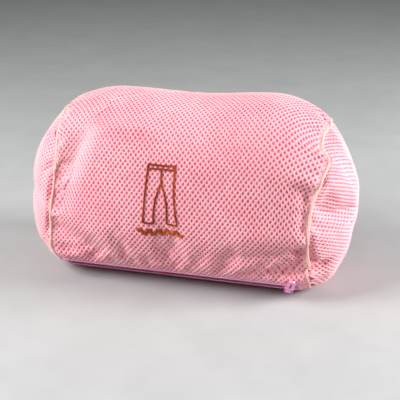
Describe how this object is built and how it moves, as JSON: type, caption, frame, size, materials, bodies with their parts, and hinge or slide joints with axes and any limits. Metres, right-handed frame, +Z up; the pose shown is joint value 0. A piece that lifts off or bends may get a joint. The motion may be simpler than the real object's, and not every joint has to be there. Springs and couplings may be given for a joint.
{
  "type": "mesh laundry bag",
  "caption": "Stuffed pillow-shaped mesh bag for machine-washing clothes, closed by a zip along its lower front edge, with a plain embroidered trousers sign.",
  "frame": {"origin": "on the surface that the bag lies on, midway between its ends and between its front and back", "axes": "+X along the bag towards the closed end of the zip, -Y towards the front with the embroidery, +Z up"},
  "size_m": [0.3234, 0.151, 0.179],
  "materials": {
    "mesh": "open knitted spacer mesh, pale pink face over a deeper pink back",
    "binding": "soft pressed mesh edge, peach pink",
    "tape": "woven tape, lilac pink",
    "coil": "nylon strand, lilac pink",
    "slider": "glossy pink enamel",
    "puller": "glossy moulded plastic, pink",
    "pink_thread": "sewing thread, pink",
    "brown_thread": "rust-brown embroidery thread with a soft shine"
  },
  "bodies": {
    "bag": {"mesh_wrap": "mesh", "left_end_panel": "mesh", "right_end_panel": "mesh", "left_seam_binding": "binding", "right_seam_binding": "binding", "zip_tape_front": "tape", "zip_tape_back": "tape", "zip_coil_front": "coil", "zip_coil_back": "coil", "left_bar_tack": "pink_thread", "right_bar_tack": "pink_thread", "front_hem_stitching": "pink_thread", "back_hem_stitching": "pink_thread", "embroidery_trousers": "brown_thread", "embroidery_wave": "brown_thread"},
    "slider": {"slider_body": "slider"},
    "puller": {"zip_puller": "puller"}
  },
  "joints": [
    {"name": "slider_travel", "type": "slide", "parent": "bag", "child": "slider", "axis": [-1, 0, 0], "range_m": [0, 0.214]},
    {"name": "puller_swing", "type": "hinge", "parent": "slider", "child": "puller", "pos_m": [0.107, -0.05214, 0.01089], "axis": [1, 0, 0], "range_deg": [0, 180]}
  ]
}
